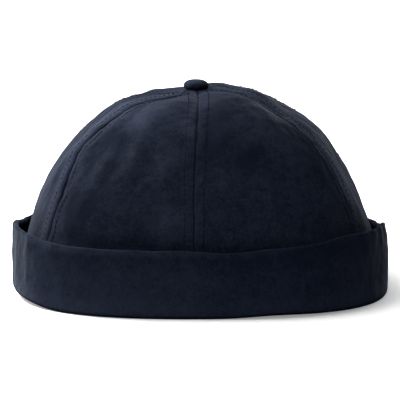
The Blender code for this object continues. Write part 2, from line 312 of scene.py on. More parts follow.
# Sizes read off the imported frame
CUFF_LOW, CUFF_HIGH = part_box("cuff")
BUTTON_LOW, BUTTON_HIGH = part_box("top_button")
CAP_WIDTH, CAP_DEPTH = CUFF_HIGH.x - CUFF_LOW.x, CUFF_HIGH.y - CUFF_LOW.y
CUFF_HEIGHT = CUFF_HIGH.z / max(station.height for station in CUFF_STATIONS)
TOP_SHIFT = (BUTTON_LOW.x + BUTTON_HIGH.x) / 2
BUTTON_WIDTH = BUTTON_HIGH.x - BUTTON_LOW.x
BUTTON_FOOT_WIDTH = 0.80 * BUTTON_WIDTH
CLINCH_WIDTH = 0.66 * BUTTON_WIDTH


def crown_top():
    """Height of the crown where the button's post goes through it."""
    corners = np.concatenate([node_points(panel.node) for panel in PANELS])
    out = np.hypot(corners[:, 0] - TOP_SHIFT, corners[:, 1])
    return corners[out < CLINCH_WIDTH / 2, 2].max()


CROWN_HEIGHT = crown_top()

# Forms, cloth and clearances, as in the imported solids. A squareness of 2 makes an ellipse
PLAN_SQUARENESS = 2.6
CROWN_SQUARENESS = 2.15
PANEL_CLOTH = 0.0014
CUFF_CLOTH = 0.0024
FOLD_CLOTH = 0.0014
FACING_CLOTH = 0.0012
FACING_HEIGHT = 0.011
HEM_GAP = 0.0018
FACING_GAP = 0.0008
SEAT_GAP = 0.0003
SEAM_OVERLAP = 0.0001
CUFF_LEAN = 0.0030
LEAN_POWER = 5
CUFF_BELLY = 0.0002
CUFF_LIFT = 0.0026
FOOT_ROUND = 0.0012
POST_WIDTH = 0.0022
POST_CLEARANCE = 0.0004
BUTTON_HEIGHT = 0.0048
BUTTON_ROLL = 0.0019
CLINCH_THICKNESS = 0.0008

# Random fields of bumps: the seed, to which a panel adds its number, and the shortest and longest bump.
# Then how high the fine rumples are, and the cuff's coarse ones, as shares of the rumple
Ripple = namedtuple("Ripple", "seed shortest longest")
DRAPES = Ripple(60, 0.011, 0.026)
RUMPLES = Ripple(7, 0.012, 0.034)
FINE_RUMPLES = Ripple(90, 0.005, 0.011)
PUCKERS = Ripple(40, 0.004, 0.009)
CUFF_RUMPLES = Ripple(301, 0.014, 0.040)
CUFF_FINE_RUMPLES = Ripple(302, 0.005, 0.011)
RIM_WAVES = Ripple(303, 0.010, 0.030)
FINE_SHARE = 0.4
CUFF_SHARE = 0.7

# The crown's soft folds, drawn out up the crown, and the climbs between which they come and go
DRAPE_DEPTH = 0.00024
DRAPE_STRETCH = 0.28
DRAPE_START = (0.16, 0.34)
DRAPE_STOP = (0.78, 0.92)

# Climbs over which the crown's relief comes in above the cuff, and distances over which it does from
# the button's middle: the soft relief first, then the sewing, whose grooves stay partly open there
ABOVE_CUFF = (0.14, 0.24)
SOFT_FROM_BUTTON = (0.46 * BUTTON_WIDTH, 0.70 * BUTTON_WIDTH)
SEWN_FROM_BUTTON = (0.40 * BUTTON_WIDTH, 0.65 * BUTTON_WIDTH)
GROOVE_AT_BUTTON = 0.15

# What a seam's parts measure on a panel that is sewn plain, and on one that laps over or under its
# neighbour. Heights, depths and the groove's rounding are shares of what CapSizes gives for them
SeamPart = namedtuple("SeamPart", "plain over under")
WELT_HEIGHT = SeamPart(1.0, 1.7, 0.4)
WELT_RISE = SeamPart(0.0012, 0.0030, 0.0012)
WELT_FALL_START = SeamPart(-0.0006, -0.0020, -0.0006)
WELT_FALL_STOP = SeamPart(0.0016, 0.0050, 0.0016)
STITCH_DEPTH = SeamPart(1.0, 0.3, 1.0)
GROOVE_DEPTH = SeamPart(1.0, 0.65, 0.1)
GROOVE_ROUND = SeamPart(1.0, 4.5, 1.0)
WEAR_AND_HIGHLIGHT_PLACE = SeamPart(0.0024, 0.0058, 0.0024)
WEAR_AND_HIGHLIGHT_BREADTH = SeamPart(0.0026, 0.0042, 0.0026)

# A worn ridge raises the welt, and its line of wear and painted highlight lies just outside the
# stitches
PLAIN_WELT = 0.9
RIDGE_WELT = 0.4
RIDGE_PLACE = 0.0004
RIDGE_BREADTH = 0.0009

# Puckers lie between a seam and its stitches and calm down towards the top, and differ on both sides
PUCKER_PLACE = 0.6
PUCKER_CALM = 0.7
PUCKER_CALMING = (0.70, 0.88)
PUCKER_SIDE_SHIFT = 0.1

# The rows of stitches: how near the middle of a narrow panel they may run, and how soon they give way.
# A stitch's length is a share of the pitch
ROW_REACH = 0.92
ROW_GIVING = 12
ROW_SPAN = (0.10, 0.985)
ROW_SAMPLES = 1500
STITCHED_SPAN = (0.17, 0.965)
STITCH_LENGTH = 0.80
DENT_BREADTH = 0.0006
DENT_SHARE = 0.3
STITCH_SIGHT = 0.0012

# The turned-in allowance inside the crown
ALLOWANCE_CLOTH = 0.0007
ALLOWANCE_EDGE = (0.0062, 0.0068)
ALLOWANCE_START = (0.16, 0.20)
ALLOWANCE_STOP = (0.93, 0.97)

# Where a lapped seam is painted dark, as painted shade in its crevice
PAINTED_SHADE_OVER = (0.0003, 0.0016)
PAINTED_SHADE_UNDER = (0.0004, 0.0016)
PAINTED_SHADE_START = (0.16, 0.24)
PAINTED_SHADE_EASING = (0.75, 0.95)
PAINTED_SHADE_EASE = 0.6

# The cuff's surface: where its relief comes in above the table, its join at the back as a share of the
# seams' depth, the waves of its rim, the rim's wear and painted highlight, and the painted shade inside
# the top of its inner wall
OFF_TABLE = (0.0005, 0.0040)
JOIN_DEPTH = 0.6
RIM_WAVE_START = 0.55
RIM_WAVE_OUT = 0.00025
RIM_WAVE_UP = 0.00015
RIM_WEAR_AND_HIGHLIGHT_DROP = 0.0010
RIM_WEAR_AND_HIGHLIGHT_BREADTH = 0.0019
RIM_WEAR_AND_HIGHLIGHT_INSIDE = 0.3
SHADE_DEPTH = 0.0030
SHADE_EDGE = 0.0004

# How much of the cuff's foot counts as outer wall, how low its inner wall ends, and how round the
# facing's top is
FOOT_SHOWS = 0.3
INNER_WALL_FOOT = 0.14
FACING_TOP_ROUND = 0.5

# The button's underside and dome, the gathers round it, the painted light on its top and painted shade
# below, and the lit side towards which its cloth is painted lighter
UNDERSIDE_SHARES = (0.3, 0.65)
DOME_POWER = 0.75
GATHER_DEPTH = 0.00016
GATHERS = 22
GATHER_DRIFTS = 5
GATHER_DRIFT = 1.3
DOME_GATHERS = 0.6
DOME_GATHERS_POWER = 6
DOME_PAINTED_LIGHT = 1.5
DOME_PAINTED_LIGHT_RISE = (0.25, 0.75)
DOME_PAINTED_SHADE = 0.8
LIT_SIDE = -60.0
LIT_SIDE_PAINTED_LIGHT = 0.7

# A stitch's arch over the cloth, its dive into it and its taper, as shares of the thread's width
STITCH_ARCH = 0.42
STITCH_DIVE = 1.1
STITCH_DIVE_POWER = 3.5
THREAD_TAPER = 0.25
THREAD_TAPER_POWER = 4
THREAD_FLATNESS = 0.8

# How light the cloth is where it is neither worn nor painted, from navy at 0 to washed at 1, what wear
# and painted light add, and how much wear lightens the crests of folds and painted shade darkens their
# hollows. Then how uneven each piece's colour is
CLOTH_LIGHT = 0.30
WEAR_AND_PAINTED_LIGHT_GAIN = 0.24
FOLD_WEAR_AND_SHADE = 1.6
CROWN_CONTRAST = 0.95
CUFF_CONTRAST = 0.65
BUTTON_CONTRAST = 1.3

# Noise in the cloth, from washed patches down to the nap: bumps in a metre, the noise's detail and
# roughness, how much it lightens and darkens the cloth, and how much it raises it
Noise = namedtuple("Noise", "name scale detail roughness light height")
CLOTH_NOISES = table(Noise, (
    ("patches", 45.0, 3.0, 0.60, 0.55, 0.0),
    ("mottle", 190.0, 3.0, 0.65, 0.62, 0.0),
    ("lint", 400.0, 2.0, 0.60, 0.55, 0.0),
    ("grain", 780.0, 2.0, 0.60, 0.80, 0.4),
    ("nap", 1700.0, 2.0, 0.70, 1.15, 0.5),
))

# How rough the cloth is, and how much its mottling adds
CLOTH_ROUGHNESS = 0.82
MOTTLE_ROUGHNESS = 0.16

# The twill: radians of ribs and weft threads in a metre, how far the ribs wander, and the heights
RIBS = 7400.0
RIB_SLANT = 1.2
RIB_HEIGHT = 0.10
RIB_WANDER = 3.0
RIB_WANDER_SCALE = 900.0
WEFTS = 9000.0
WEFT_HEIGHT = 0.03

# The second colours of the thread and of the floor, as shares of the first
THREAD_LIGHTER = 1.8
FLOOR_DARKER = 0.99

# Mesh counts
HALF_COLUMNS = 46
SEAM_CROWDING = 1.6
PANEL_ROWS = 150
TOP_CROWDING = 1.3
CUFF_RINGS = 640
CUFF_FOOT_POINTS = 5
CUFF_WALL_POINTS = 40
CUFF_RIM_POINTS = 13
CUFF_INNER_POINTS = 24
FACING_POINTS = 9
FACING_TOP_POINTS = 7
BUTTON_SIDES = 96
BUTTON_ROLL_POINTS = 9
BUTTON_DOME_POINTS = 22
THREAD_SIDES = 6
THREAD_RINGS = 7

# The studio's soft lights: azimuth and elevation in degrees, side and distance in metres, and watts
StudioLight = namedtuple("StudioLight", "name azimuth elevation side distance watts")
STUDIO_LIGHTS = table(StudioLight, (
    ("key", -48, 24, 0.9, 1.4, 3.6),
    ("left", -95, 22, 0.8, 1.4, 3.1),
    ("left_high", -100, 60, 0.8, 1.4, 2.5),
    ("back_left", -138, 20, 0.8, 1.4, 3.3),
    ("back", 180, 25, 1.0, 1.4, 3.3),
    ("back_high", 175, 50, 1.0, 1.4, 3.0),
    ("near_top", -45, 78, 0.18, 0.35, 0.9),
    ("near_left", -120, 40, 0.22, 0.42, 5.1),
))
LIGHT_COLOUR = (1.0, 0.97, 0.90)
ROOM_COLOUR = (0.94, 0.99, 1.12)
ROOM_STRENGTH = 0.25

# The lamp over the floor behind the cap shines straight down, in a narrow beam
FLOOR_LIGHT_PLACE = (0.0, 0.80, 0.80)
FLOOR_LIGHT_SIDES = (0.5, 1.3)
FLOOR_LIGHT_BEAM = 40.0
FLOOR_LIGHT_WATTS = 3.6
FLOOR_REACH = 40.0 * CAP_DEPTH
FLOOR_DROP = 0.0001
FLOOR_GLOW = 0.26

# The camera, and the width and middle of what it sees at the cap, in metres
CAMERA_ELEVATION = 8.7
CAMERA_DISTANCE = 8.0
CAMERA_SENSOR = 36.0
PICTURE_WIDTH = 0.2022
PICTURE_MIDDLE = (-0.00015, 0.0437)


class CapSizes(bpy.types.PropertyGroup):
    """Sizes of the sewing and of the cloth's surface."""

    seam_roll: FloatProperty(
        name="Seam roll", description="How far a panel's edge turns down into its seam",
        default=0.0008, min=0.0, unit="LENGTH",
    )
    seam_round: FloatProperty(
        name="Seam rounding", description="How far from the seam the panel's edge starts to turn down",
        default=0.00030, min=0.0001, unit="LENGTH",
    )
    row_offset: FloatProperty(
        name="Topstitching offset", description="Distance from a seam to the stitches beside it",
        default=0.0052, min=0.001, unit="LENGTH",
    )
    allowance_lift: FloatProperty(
        name="Allowance lift", description="How far the turned-in allowance raises the cloth over it",
        default=0.00030, min=0.0, unit="LENGTH",
    )
    stitch_pull: FloatProperty(
        name="Stitch pull", description="How deep the stitches pull the cloth in",
        default=0.00018, min=0.0, unit="LENGTH",
    )
    pucker: FloatProperty(
        name="Pucker", description="Height of the small ripples between a seam and its stitches",
        default=0.00012, min=0.0, unit="LENGTH",
    )
    stitch_pitch: FloatProperty(
        name="Stitch pitch", description="Length of a stitch and the gap after it",
        default=0.00275, min=0.001, unit="LENGTH",
    )
    thread_width: FloatProperty(
        name="Thread width", description="Width of the sewing thread",
        default=0.00036, min=0.0001, unit="LENGTH",
    )
    rumple: FloatProperty(
        name="Rumple", description="Height of the cloth's soft unevenness",
        default=0.00016, min=0.0, unit="LENGTH",
    )


class CapColours(bpy.types.PropertyGroup):
    """Colours of the cloth, the thread and the floor."""

    navy: FloatVectorProperty(
        name="Navy cloth", description="Colour of the cloth where it is unworn",
        subtype="COLOR", size=3, min=0.0, max=1.0, default=(0.0033, 0.0050, 0.0106),
    )
    washed: FloatVectorProperty(
        name="Washed navy", description="Colour of the cloth where washing has lightened it",
        subtype="COLOR", size=3, min=0.0, max=1.0, default=(0.0168, 0.0215, 0.0364),
    )
    thread: FloatVectorProperty(
        name="Thread", description="Colour of the sewing thread",
        subtype="COLOR", size=3, min=0.0, max=1.0, default=(0.0024, 0.0034, 0.0068),
    )
    # Painted shade: this near-black is mixed in where the mesh carries painted shade, in lapped seams
    # and inside the cuff's top
    covered: FloatVectorProperty(
        name="Covered cloth", description="Colour of hidden cloth, which has kept its first dye",
        subtype="COLOR", size=3, min=0.0, max=1.0, default=(0.0008, 0.0012, 0.0028),
    )
    floor: FloatVectorProperty(
        name="Floor", description="Colour of the floor",
        subtype="COLOR", size=3, min=0.0, max=1.0, default=(0.93, 0.93, 0.93),
    )


# Tables and curves


def read_table(rows, column, places, turn=0.0):
    """A column at an array of places, on a smooth curve; a turn makes the table go round."""
    at = np.array([row[0] for row in rows], float)
    values = np.array([getattr(row, column) for row in rows], float)
    return smooth_curve(at, values, places, turn)


def smooth_curve(at, values, places, turn=0.0):
    """Values at an array of places, on a smooth curve through a few points."""
    places = np.asarray(places, float)
    if turn:
        places = (places - at[0]) % turn + at[0]
        at = np.concatenate([at[-2:] - turn, at, at[:2] + turn])
        values = np.concatenate([values[-2:], values, values[:2]])
    places = np.clip(places, at[0], at[-1])
    number = np.arange(len(at))
    before, after = np.maximum(number - 1, 0), np.minimum(number + 1, len(at) - 1)
    slope = (values[after] - values[before]) / (at[after] - at[before])
    k = np.clip(np.searchsorted(at, places, side="right") - 1, 0, len(at) - 2)
    span = at[k + 1] - at[k]
    t = (places - at[k]) / span
    value = values[k] * (1 + 2 * t) * (1 - t) ** 2 + values[k + 1] * (3 - 2 * t) * t * t
    return value + span * (slope[k] * t * (1 - t) ** 2 - slope[k + 1] * (1 - t) * t * t)


def bell(distance, width):
    """1 at no distance, falling off smoothly over a width."""
    return np.exp(-((distance / width) ** 2))


def slanted_bell(around, up, tilt, length, width):
    """A bell, long up its tilt and narrow across it, at distances around and up from its middle."""
    tilt = math.radians(tilt)
    along = (up * math.cos(tilt) + around * math.sin(tilt)) / length
    across = (around * math.cos(tilt) - up * math.sin(tilt)) / width
    return np.exp(-along * along - across * across)


def step(value, low, high):
    """0 below the low value and 1 above the high one, with a smooth ramp between them."""
    t = np.clip((value - low) / (high - low), 0.0, 1.0)
    return t * t * (3 - 2 * t)


def between(value, start, stop):
    """Rises from 0 to 1 over the start's two values, and falls back over the stop's."""
    return step(value, *start) * (1 - step(value, *stop))


def ripples(points, ripple, number=0):
    """A smooth random field over points, of about 1 up and down."""
    waves = 36
    draw = np.random.default_rng(ripple.seed + number)
    total = np.zeros(points.shape[:-1])
    for _ in range(waves):
        ahead = draw.normal(size=3)
        length = ripple.shortest * (ripple.longest / ripple.shortest) ** draw.random()
        turns = points @ (ahead / np.linalg.norm(ahead)) / length + draw.random()
        total += np.sin(2 * math.pi * turns)
    return total / math.sqrt(waves / 2)


def stacked(*parts):
    """Arrays side by side, along a new last axis."""
    return np.stack(np.broadcast_arrays(*parts), axis=-1)


def running_length(points):
    """Length along lines of points, up to each point."""
    lengths = np.linalg.norm(np.diff(points, axis=-2), axis=-1)
    return np.concatenate([np.zeros_like(lengths[..., :1]), np.cumsum(lengths, axis=-1)], axis=-1)


# The cap's form


def turn_from(azimuth, middle):
    """Degrees from a middle azimuth, the shorter way round."""
    return (azimuth - middle + FULL_TURN / 2) % FULL_TURN - FULL_TURN / 2


def on_ray(azimuth, out, up):
    """Points at radii and heights on the rays at azimuths."""
    turned = np.radians(azimuth)
    return stacked(out * np.sin(turned), -out * np.cos(turned), up)


def from_button(points):
    """Distance of points from the button's middle, seen from above."""
    return np.hypot(points[..., 0] - TOP_SHIFT, points[..., 1])


def plan_radius(azimuth, inset):
    """Radius of the cap's oval, seen from above, drawn in by an inset."""
    across = np.abs(np.sin(np.radians(azimuth))) / (CAP_WIDTH / 2 - inset)
    along = np.abs(np.cos(np.radians(azimuth))) / (CAP_DEPTH / 2 - inset)
    return (across**PLAN_SQUARENESS + along**PLAN_SQUARENESS) ** (-1 / PLAN_SQUARENESS)


def hem_radius(azimuth):
    """Radius of the crown's plain form at the table, inside the cuff."""
    return plan_radius(azimuth, CUFF_CLOTH + HEM_GAP)


def cuff_lift(azimuth):
    """How far the cuff's fold, and the hem that stands in it, lie off the table."""
    return CUFF_LIFT * np.maximum(0.0, read_table(CUFF_STATIONS, "lift", azimuth, FULL_TURN))


def reach_of_climb(climb):
    """The plain form's radius at a climb, as a share of its radius at the table."""
    return np.cos(climb * math.pi / 2) ** (2 / CROWN_SQUARENESS)


def climb_of_reach(reach):
    """The climb at which the plain form has a share of its radius at the table."""
    return np.arccos(reach ** (CROWN_SQUARENESS / 2)) * 2 / math.pi


def climb_of_height(height):
    """The climb at which the plain form has a height."""
    return np.arcsin((height / CROWN_HEIGHT) ** (CROWN_SQUARENESS / 2)) * 2 / math.pi


def seam_azimuth(number, climb):
    """Where a seam runs at a climb; the numbers after the last go on round the cap."""
    turns, number = divmod(number, len(SEAMS))
    seam = SEAMS[number]
    path = np.array((0.0, seam.low, seam.middle, seam.high, seam.top))
    turned = smooth_curve(np.array(SEAM_CLIMBS), path, climb)
    waves = sum(
        wave.width * np.sin(wave.climbing * climb + wave.seam_shift * number) for wave in WANDERS
    )
    wander = SEAM_WANDER * (PLAIN_WANDER + seam.lap) * waves
    return seam.azimuth + turns * FULL_TURN + turned + wander


def crease_swell(creases, azimuth, climb):
    """Sum of soft creases and bulges at a place, outwards positive."""
    radius = reach_of_climb(climb) * CAP_WIDTH / 2
    total = 0.0
    for crease in creases:
        around = np.radians(turn_from(azimuth, crease.azimuth)) * radius
        up = (climb - crease.climb) * math.pi / 2 * CROWN_HEIGHT
        length, width = crease.length * CREASE_LENGTH, crease.width * CREASE_WIDTH
        swell = slanted_bell(around, up, crease.tilt, length, width)
        total = total + crease.depth * CREASE_DEPTH * swell
    return total


def scallop_of(panel, share):
    """How far a panel swells at a share across it, from 0 at a seam to its puff in the middle."""
    return panel.puff * (1 - np.abs(share) ** SCALLOP_POWER)


def crown_point(azimuth, climb, scallop, lift):
    """Points on the crown, at azimuths and climbs, with a scallop and a lift outwards."""
    reach = reach_of_climb(climb)
    rise = np.sin(climb * math.pi / 2) ** (2 / CROWN_SQUARENESS)
    hem = hem_radius(azimuth)
    out = reach ** (CROWN_SQUARENESS - 1) / hem
    up = rise ** (CROWN_SQUARENESS - 1) / CROWN_HEIGHT
    steepness = np.hypot(out, up)
    seam, middle = (read_table(SWELLS, column, climb) for column in ("seam", "middle"))
    swell = PUFF * (seam + (middle - seam) * scallop) + crease_swell(CREASES, azimuth, climb) + lift
    radius = hem * reach + swell * out / steepness
    points = on_ray(azimuth, radius, CROWN_HEIGHT * rise + swell * up / steepness)
    points[..., 0] += TOP_SHIFT * (1 - reach) ** 2
    return points


def crown_painted_lighting(azimuth, climb):
    """How much painted light lightens the crown's cloth at a place, or how much painted shade darkens
    it.
    """
    return sum(
        fade.amount
        * bell(turn_from(azimuth, fade.azimuth), fade.breadth)
        * bell(climb - fade.climb, fade.rise)
        for fade in CROWN_PAINTED_LIGHTING
    )


# Pieces


def grid_faces(rows, columns, offset=0, round_rows=False, round_columns=False):
    """Quads between neighbouring rows and columns of a grid of points."""
    row = np.arange(rows if round_rows else rows - 1)[:, None]
    column = np.arange(columns if round_columns else columns - 1)[None, :]
    next_row, next_column = (row + 1) % rows, (column + 1) % columns
    corners = stacked(
        row * columns + column,
        row * columns + next_column,
        next_row * columns + next_column,
        next_row * columns + column,
    )
    return corners.reshape(-1, 4) + offset


def wall_faces(rows, columns):
    """Quads of a closed wall whose outer side is a grid of points, and its inner side the next one."""
    count = rows * columns
    edge = np.concatenate([
        np.arange(columns),
        np.arange(1, rows) * columns + columns - 1,
        (rows - 1) * columns + np.arange(columns - 2, -1, -1),
        np.arange(rows - 2, 0, -1) * columns,
    ])
    following = np.roll(edge, -1)
    rim = np.stack([following, edge, edge + count, following + count], axis=-1)
    outer, inner = grid_faces(rows, columns), grid_faces(rows, columns, count)[:, ::-1]
    return np.concatenate([outer, inner, rim])


def smooth_piece(name, points, faces):
    """A smooth mesh piece that rides with the cap."""
    mesh = bpy.data.meshes.new(name)
    mesh.from_pydata(points.tolist(), [], faces)
    mesh.update()
    mesh.shade_smooth()
    piece = bpy.data.objects.new(name, mesh)
    bpy.context.collection.objects.link(piece)
    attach(piece, BODY)
    return piece


def cloth_piece(name, points, faces, cloth_place, wear_and_painted_light, painted_shade=None):
    """A smooth piece with its place on the cloth as UVs, its wear and painted light, and its painted
    shade.
    """
    piece = smooth_piece(name, points, faces)
    mesh = piece.data
    corners = np.empty(len(mesh.loops), int)
    mesh.loops.foreach_get("vertex_index", corners)
    layer = mesh.uv_layers.new(name="Cloth")
    layer.data.foreach_set("uv", cloth_place[corners].astype(np.float32).ravel())
    for attribute_name, values in (("wear_and_painted_light", wear_and_painted_light), ("painted_shade", painted_shade)):
        if values is not None:
            attribute = mesh.attributes.new(attribute_name, "FLOAT", "POINT")
            attribute.data.foreach_set("value", values.astype(np.float32))
    return piece


# Panels


class PanelForm:
    """One crown panel between its seams, and the rows of stitches along them."""

    def __init__(self, panel, sizes):
        self.panel, self.sizes = panel, sizes
        self.row_tables = {side: self.row_table(side) for side in (-1, 1)}

    def spread(self, climb):
        """Azimuth of the panel's middle, and half its width in degrees and in metres."""
        left, right = (seam_azimuth(self.panel.first_seam + i, climb) for i in (0, 1))
        middle, half = (left + right) / 2, (right - left) / 2
        radius = hem_radius(middle) * reach_of_climb(climb)
        return middle, half + np.degrees(SEAM_OVERLAP / 2 / radius), np.radians(half) * radius

    def row_gap(self, climb):
        """Distance from a seam to its row of stitches, which narrows where the panel does."""
        _, _, half = self.spread(climb)
        gaps = (self.sizes.row_offset, ROW_REACH * half)
        return sum(gap**-ROW_GIVING for gap in gaps) ** (-1 / ROW_GIVING)

    def row_share(self, side, climb, nudge=0.0):
        """Share across at which a side's row runs, or a place nudged from it towards the middle."""
        _, _, half = self.spread(climb)
        return side * (1 - (self.row_gap(climb) + nudge) / half)

    def row_table(self, side):
        """Climbs along a row of stitches, and the row's length up to each."""
        climbs = np.linspace(*ROW_SPAN, ROW_SAMPLES)
        return climbs, running_length(PanelCloth(self, self.row_share(side, climbs), climbs).plain)

    def grid(self):
        """Shares and climbs of the mesh's points, which crowd together at the seams and the top."""
        crowding = 1 - np.linspace(0, 1, HALF_COLUMNS + 1) ** SEAM_CROWDING
        share = np.concatenate([-crowding, crowding[-2::-1]])[None, :]
        middle, half_turn, _ = self.spread(0.0)
        azimuth = middle + share * half_turn
        bottom = climb_of_height(cuff_lift(azimuth) + FOLD_CLOTH + SEAT_GAP)
        top = climb_of_reach((POST_WIDTH / 2 + POST_CLEARANCE) / hem_radius(azimuth))
        up = 1 - (1 - np.linspace(0, 1, PANEL_ROWS + 1)[:, None]) ** TOP_CROWDING
        climb = bottom + (top - bottom) * up
        return np.broadcast_to(share, climb.shape), climb


class PanelCloth:
    """A panel's cloth at places, given by their shares across it and their climbs."""

    def __init__(self, form, share, climb):
        self.form, self.sizes, self.share, self.climb = form, form.sizes, share, climb
        middle, half_turn, self.half = form.spread(climb)
        self.azimuth = middle + share * half_turn
        self.scallop = scallop_of(form.panel, share)
        self.plain = self.lifted(0.0)
        self.out = from_button(self.plain)
        self.gap = (1 - np.abs(share)) * self.half
        self.row = form.row_gap(climb)
        lap = self.by_side("lap", "lap")
        self.over, self.under = np.where(share < 0, 0.0, lap), np.where(share < 0, lap, 0.0)

    def lifted(self, lift):
        """Points with a lift off the panel's plain surface."""
        return crown_point(self.azimuth, self.climb, self.scallop, lift)

    def ripples(self, points, ripple):
        """The panel's own random field over points."""
        return ripples(points, ripple, self.form.panel.first_seam)

    def by_side(self, before, after):
        """The nearer seam's value for the panel that lies before it or after it."""
        first = self.form.panel.first_seam
        seam, next_seam = (SEAMS[(first + i) % len(SEAMS)] for i in (0, 1))
        return np.where(self.share < 0, getattr(seam, after), getattr(next_seam, before))

    def measure(self, part):
        """What a part of the nearer seam measures on this panel."""
        lapped = (part.over - part.plain) * self.over + (part.under - part.plain) * self.under
        return part.plain + lapped

    def folds(self):
        """Height of the fine creases, and of the soft folds in which the cloth falls to the cuff."""
        panel = self.form.panel
        up = (self.climb - 0.5) * CROWN_HEIGHT * math.pi / 2
        fallen = stacked(self.share * self.half + panel.slant * up, DRAPE_STRETCH * up, 0.0)
        drape = panel.drape * DRAPE_DEPTH * self.ripples(fallen, DRAPES)
        creases = crease_swell(FINE_CREASES, self.azimuth, self.climb)
        return creases + drape * between(self.climb, DRAPE_START, DRAPE_STOP)

    def soft_relief(self):
        """Height of folds, rumples and sag over the plain surface, on both sides of the cloth."""
        coarse, fine = (self.ripples(self.plain, ripple) for ripple in (RUMPLES, FINE_RUMPLES))
        relief = self.folds() + self.sizes.rumple * (coarse + FINE_SHARE * fine)
        columns = ("depth", "sag")
        dip, sag = (read_table(BUTTON_DIPS, name, self.azimuth, FULL_TURN) for name in columns)
        dip = DIP_DEPTH * dip * bell(self.out - DIP_RADIUS, DIP_BREADTH)
        sag = SAG_DEPTH * sag * bell(self.out - SAG_RADIUS, SAG_BREADTH)
        relief = step(self.climb, *ABOVE_CUFF) * relief - dip - sag
        return step(self.out, *SOFT_FROM_BUTTON) * relief

    def welt(self):
        """Height of the cloth over the stitched-down allowances."""
        ridge = PLAIN_WELT + RIDGE_WELT * self.by_side("ridge", "ridge")
        rise = np.maximum(step(self.gap, 0.0, self.measure(WELT_RISE)), self.under)
        start, stop = (self.row + self.measure(part) for part in (WELT_FALL_START, WELT_FALL_STOP))
        height = self.sizes.allowance_lift * ridge * self.measure(WELT_HEIGHT)
        return height * rise * (1 - step(self.gap, start, stop))

    def puckers(self):
        """Height of the small ripples between a seam and its stitches."""
        points = self.plain + PUCKER_SIDE_SHIFT * np.sign(self.share)[..., None]
        middle = PUCKER_PLACE * self.row
        calm = 1 - PUCKER_CALM * step(self.climb, *PUCKER_CALMING)
        height = self.sizes.pucker * self.ripples(points, PUCKERS)
        return height * bell(self.gap - middle, middle) * calm

    def stitch_dents(self):
        """Depth to which the stitches pull the cloth in."""
        left, right = (np.interp(self.climb, *self.form.row_tables[side]) for side in (-1, 1))
        stitches = np.where(self.share < 0, left, right) / self.sizes.stitch_pitch
        along = 1 - DENT_SHARE + DENT_SHARE * np.cos(2 * math.pi * stitches)
        across = bell(self.gap - self.row, DENT_BREADTH)
        return self.sizes.stitch_pull * along * across * self.measure(STITCH_DEPTH)

    def groove(self):
        """Depth to which the panel's edge turns down into its seam."""
        depth = self.sizes.seam_roll * self.by_side("groove", "groove") * self.measure(GROOVE_DEPTH)
        return depth * bell(self.gap, self.sizes.seam_round * self.measure(GROOVE_ROUND))

    def sewn_relief(self):
        """Height that the sewing gives the cloth, on the outside only."""
        sewn = self.welt() + self.puckers() - self.stitch_dents()
        beside_button = step(self.out, *SEWN_FROM_BUTTON)
        open_groove = GROOVE_AT_BUTTON + (1 - GROOVE_AT_BUTTON) * beside_button
        return beside_button * step(self.climb, *ABOVE_CUFF) * sewn - open_groove * self.groove()

    def outside(self):
        """The cloth's outer side."""
        return self.lifted(self.soft_relief() + self.sewn_relief())

    def inside(self):
        """The cloth's inner side, with the turned-in allowance beside the seams above the facing."""
        beside_seam = 1 - step(self.gap, *ALLOWANCE_EDGE)
        up = between(self.climb, ALLOWANCE_START, ALLOWANCE_STOP)
        return self.lifted(self.soft_relief() - PANEL_CLOTH - ALLOWANCE_CLOTH * beside_seam * up)

    def wear_and_painted_light(self):
        """How much lighter or darker the cloth is: wear and painted highlights beside the seams, wear
        on the crests of folds and painted shade in their hollows, and the crown's painted light and
        shade.
        """
        beside = bell(self.gap - self.measure(WEAR_AND_HIGHLIGHT_PLACE), self.measure(WEAR_AND_HIGHLIGHT_BREADTH))
        ridge = bell(self.gap - self.row - RIDGE_PLACE, RIDGE_BREADTH)
        seams = self.by_side("before", "after") * beside + self.by_side("ridge", "ridge") * ridge
        fold_wear_and_shade = FOLD_WEAR_AND_SHADE * self.folds() / CREASE_DEPTH
        return seams + crown_painted_lighting(self.azimuth, self.climb) + fold_wear_and_shade

    def painted_shade(self):
        """Where a lapped seam is painted dark, as painted shade in its crevice."""
        over = self.over * (1 - step(self.gap, *PAINTED_SHADE_OVER))
        under = self.under * (1 - step(self.gap, *PAINTED_SHADE_UNDER))
        eased = 1 - PAINTED_SHADE_EASE * step(self.climb, *PAINTED_SHADE_EASING)
        return (over + under) * step(self.climb, *PAINTED_SHADE_START) * eased


def crown_panel(form):
    """A crown panel as a closed wall of cloth."""
    share, climb = form.grid()
    cloth = PanelCloth(form, share, climb)
    outer, inner = cloth.outside(), cloth.inside()
    across = share * cloth.half + form.panel.first_seam * CAP_WIDTH
    place = stacked(across, running_length(outer[:, HALF_COLUMNS])[:, None]).reshape(-1, 2)
    unworn = np.zeros(climb.size)
    return cloth_piece(
        "cloth_" + form.panel.node.removeprefix("crown_"),
        np.concatenate([outer, inner]).reshape(-1, 3),
        wall_faces(*climb.shape).tolist(),
        np.concatenate([place, place]),
        np.concatenate([cloth.wear_and_painted_light().ravel(), unworn]),
        np.concatenate([cloth.painted_shade().ravel(), unworn]),
    )


# Cuff


def fold_relief(azimuth, height):
    """Sum of the cuff's soft folds at places on its outer wall."""
    total = 0.0
    for fold in CUFF_FOLDS:
        around = np.radians(turn_from(azimuth, fold.azimuth)) * plan_radius(fold.azimuth, 0.0)
        up = height / CUFF_HEIGHT - fold.height
        swell = slanted_bell(around / CUFF_HEIGHT, up, fold.tilt, fold.length, fold.width)
        total = total + fold.depth * CUFF_FOLD_DEPTH * swell
    return total


def panel_under(azimuth):
    """Scallop of the panel that stands in the cuff at each azimuth."""
    scallop = np.zeros_like(azimuth)
    for panel in PANELS:
        left, right = (seam_azimuth(panel.first_seam + i, 0.0) for i in (0, 1))
        share = ((azimuth - left) % FULL_TURN) / (right - left) * 2 - 1
        scallop = np.where(np.abs(share) <= 1, scallop_of(panel, share), scallop)
    return scallop


